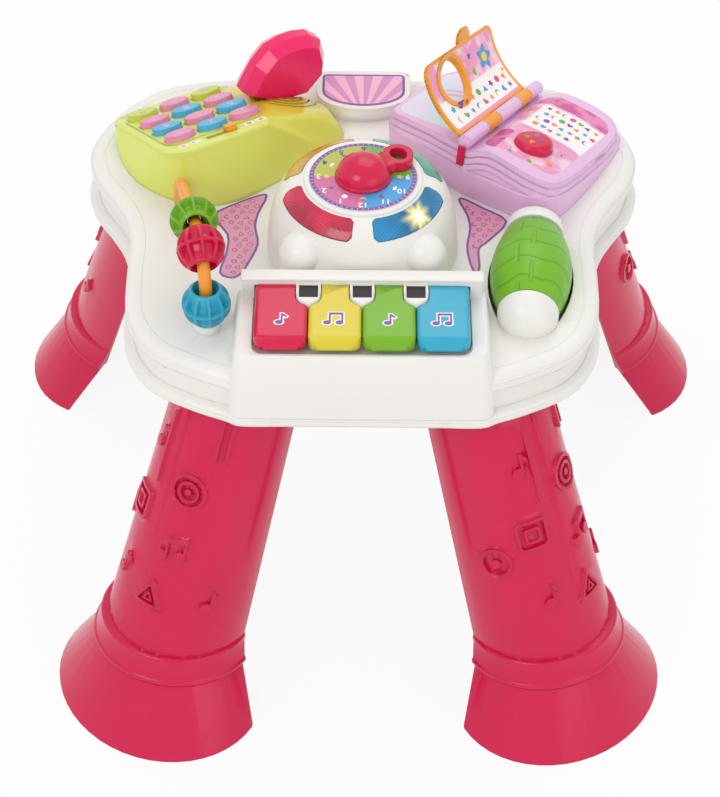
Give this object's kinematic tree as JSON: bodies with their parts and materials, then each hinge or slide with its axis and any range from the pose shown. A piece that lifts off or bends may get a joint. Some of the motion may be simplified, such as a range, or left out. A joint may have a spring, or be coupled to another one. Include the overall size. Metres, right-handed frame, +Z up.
{
  "type": "musical activity table",
  "caption": "Child's musical activity table: white rounded top with piano keys, clock dial, phone, book, roller and bead rail on splayed crimson shell legs.",
  "frame": {"origin": "on the floor, under the middle of the box that bounds the whole table", "axes": "+Z up; the piano is on the -Y side, the phone and book are on the +Y side, +X is to the right when the piano faces the viewer"},
  "size_m": [0.6424, 0.5944, 0.4479],
  "materials": {
    "shell_white": "moulded ABS, satin gloss",
    "leg_crimson": "moulded ABS",
    "crimson": "moulded ABS",
    "yellow": "moulded ABS",
    "green": "moulded ABS",
    "blue": "moulded ABS",
    "black_pad": "fine grain",
    "steel": "drawn wire and plated screws",
    "dial_print": "printed label on a plastic disc",
    "lens_red": "translucent",
    "lens_blue": "translucent",
    "lens_yellow": "translucent",
    "lens_green": "translucent",
    "board": "laminate with solder mask",
    "phone_lime": "moulded ABS",
    "button_pink": "moulded ABS",
    "button_blue": "moulded ABS",
    "button_lime": "moulded ABS",
    "mat_rubber": "silicone rubber",
    "orange": "moulded ABS",
    "book_lilac": "moulded ABS",
    "pink_label": "printed label",
    "cell_wrap": "plastic sleeve over steel"
  },
  "bodies": {
    "table": {"top_casing": "shell_white", "bottom_casing": "shell_white", "leg_front_left": "leg_crimson", "leg_front_right": "leg_crimson", "leg_back_left": "leg_crimson", "leg_back_right": "leg_crimson", "black_keys": "black_pad", "key_contact_mat": "mat_rubber", "key_pin": "steel", "dome_cover": "shell_white", "dial_ring": "shell_white", "dial_face": "dial_print", "lens_red": "lens_red", "lens_blue": "lens_blue", "lens_yellow": "lens_yellow", "lens_green": "lens_green", "light_board": "board", "phone_base": "phone_lime", "keypad_mat": "mat_rubber", "book_base": "book_lilac", "hinge_pin": "steel", "bookmark": "crimson", "roller_axle": "steel", "roller_bearing_front": "shell_white", "roller_bearing_back": "shell_white", "bead_rail": "orange", "nameplate": "pink_label", "label_left": "pink_label", "label_right": "pink_label", "battery_door": "shell_white", "batteries": "cell_wrap", "battery_contacts": "steel", "circuit_board": "board", "speaker": "black_pad", "casing_screws": "steel"},
    "key_red": {"piano_key_red": "crimson"},
    "key_yellow": {"piano_key_yellow": "yellow"},
    "key_green": {"piano_key_green": "green"},
    "key_blue": {"piano_key_blue": "blue"},
    "pointer": {"dial_pointer": "crimson"},
    "button_1": {"phone_button_1": "button_pink"},
    "button_2": {"phone_button_2": "button_blue"},
    "button_3": {"phone_button_3": "button_pink"},
    "button_4": {"phone_button_4": "button_blue"},
    "button_5": {"phone_button_5": "button_pink"},
    "button_6": {"phone_button_6": "button_blue"},
    "button_7": {"phone_button_7": "button_pink"},
    "button_8": {"phone_button_8": "button_blue"},
    "button_9": {"phone_button_9": "button_pink"},
    "button_10": {"phone_button_10": "button_lime"},
    "button_11": {"phone_button_11": "button_pink"},
    "button_12": {"phone_button_12": "button_lime"},
    "slider": {"mode_slider": "orange"},
    "handset": {"handset": "crimson"},
    "page": {"book_page": "orange"},
    "book_key": {"book_button": "crimson"},
    "roller": {"roller_barrel": "green"},
    "blue_bead": {"bead_blue": "blue"},
    "red_bead": {"bead_red": "crimson"},
    "green_bead": {"bead_green": "green"}
  },
  "joints": [
    {"name": "key_red_press", "type": "hinge", "parent": "table", "child": "key_red", "pos_m": [0, -0.1215, 0.377], "axis": [1, 0, 0], "range_deg": [0, 4], "stiffness_Nm_per_rad": 0.6, "springref_deg": -6.88},
    {"name": "key_yellow_press", "type": "hinge", "parent": "table", "child": "key_yellow", "pos_m": [0, -0.1215, 0.377], "axis": [1, 0, 0], "range_deg": [0, 4], "stiffness_Nm_per_rad": 0.6, "springref_deg": -6.88},
    {"name": "key_green_press", "type": "hinge", "parent": "table", "child": "key_green", "pos_m": [0, -0.1215, 0.377], "axis": [1, 0, 0], "range_deg": [0, 4], "stiffness_Nm_per_rad": 0.6, "springref_deg": -6.88},
    {"name": "key_blue_press", "type": "hinge", "parent": "table", "child": "key_blue", "pos_m": [0, -0.1215, 0.377], "axis": [1, 0, 0], "range_deg": [0, 4], "stiffness_Nm_per_rad": 0.6, "springref_deg": -6.88},
    {"name": "pointer_turn", "type": "hinge", "parent": "table", "child": "pointer", "pos_m": [0, -0.035, 0.421], "axis": [0, 0, 1], "continuous": true},
    {"name": "phone_button_1_press", "type": "slide", "parent": "table", "child": "button_1", "axis": [0.1719, -0.2861, -0.9426], "range_m": [0, 0.002], "stiffness_N_per_m": 400, "springref_m": -0.001},
    {"name": "phone_button_2_press", "type": "slide", "parent": "table", "child": "button_2", "axis": [0.1719, -0.2861, -0.9426], "range_m": [0, 0.002], "stiffness_N_per_m": 400, "springref_m": -0.001},
    {"name": "phone_button_3_press", "type": "slide", "parent": "table", "child": "button_3", "axis": [0.1719, -0.2861, -0.9426], "range_m": [0, 0.002], "stiffness_N_per_m": 400, "springref_m": -0.001},
    {"name": "phone_button_4_press", "type": "slide", "parent": "table", "child": "button_4", "axis": [0.1719, -0.2861, -0.9426], "range_m": [0, 0.002], "stiffness_N_per_m": 400, "springref_m": -0.001},
    {"name": "phone_button_5_press", "type": "slide", "parent": "table", "child": "button_5", "axis": [0.1719, -0.2861, -0.9426], "range_m": [0, 0.002], "stiffness_N_per_m": 400, "springref_m": -0.001},
    {"name": "phone_button_6_press", "type": "slide", "parent": "table", "child": "button_6", "axis": [0.1719, -0.2861, -0.9426], "range_m": [0, 0.002], "stiffness_N_per_m": 400, "springref_m": -0.001},
    {"name": "phone_button_7_press", "type": "slide", "parent": "table", "child": "button_7", "axis": [0.1719, -0.2861, -0.9426], "range_m": [0, 0.002], "stiffness_N_per_m": 400, "springref_m": -0.001},
    {"name": "phone_button_8_press", "type": "slide", "parent": "table", "child": "button_8", "axis": [0.1719, -0.2861, -0.9426], "range_m": [0, 0.002], "stiffness_N_per_m": 400, "springref_m": -0.001},
    {"name": "phone_button_9_press", "type": "slide", "parent": "table", "child": "button_9", "axis": [0.1719, -0.2861, -0.9426], "range_m": [0, 0.002], "stiffness_N_per_m": 400, "springref_m": -0.001},
    {"name": "phone_button_10_press", "type": "slide", "parent": "table", "child": "button_10", "axis": [0.1719, -0.2861, -0.9426], "range_m": [0, 0.002], "stiffness_N_per_m": 400, "springref_m": -0.001},
    {"name": "phone_button_11_press", "type": "slide", "parent": "table", "child": "button_11", "axis": [0.1719, -0.2861, -0.9426], "range_m": [0, 0.002], "stiffness_N_per_m": 400, "springref_m": -0.001},
    {"name": "phone_button_12_press", "type": "slide", "parent": "table", "child": "button_12", "axis": [0.1719, -0.2861, -0.9426], "range_m": [0, 0.002], "stiffness_N_per_m": 400, "springref_m": -0.001},
    {"name": "mode_slide", "type": "slide", "parent": "table", "child": "slider", "axis": [0.8572, 0.515, 0], "range_m": [-0.018, 0.002]},
    {"name": "handset_lift", "type": "slide", "parent": "table", "child": "handset", "axis": [0, 0, 1], "range_m": [0, 0.15]},
    {"name": "page_turn", "type": "hinge", "parent": "table", "child": "page", "pos_m": [0.11604, 0.09366, 0.38618], "axis": [0.5051, 0.8406, -0.1959], "range_deg": [-36, 128]},
    {"name": "book_button_press", "type": "slide", "parent": "table", "child": "book_key", "axis": [-0.1009, -0.168, -0.9806], "range_m": [0, 0.003], "stiffness_N_per_m": 500, "springref_m": -0.0015},
    {"name": "roller_spin", "type": "hinge", "parent": "table", "child": "roller", "pos_m": [0.136, -0.078, 0.356], "axis": [0.0958, 0.9954, 0], "continuous": true},
    {"name": "bead_blue_spin", "type": "hinge", "parent": "table", "child": "blue_bead", "pos_m": [-0.122, -0.138, 0.3753], "axis": [0, 0, 1], "continuous": true},
    {"name": "bead_red_spin", "type": "hinge", "parent": "table", "child": "red_bead", "pos_m": [-0.1257, -0.11981, 0.41629], "axis": [-0.1776, 0.8731, 0.454], "continuous": true},
    {"name": "bead_green_slide", "type": "slide", "parent": "table", "child": "green_bead", "axis": [-0.1907, 0.9371, -0.2924], "range_m": [0, 0.04]}
  ]
}
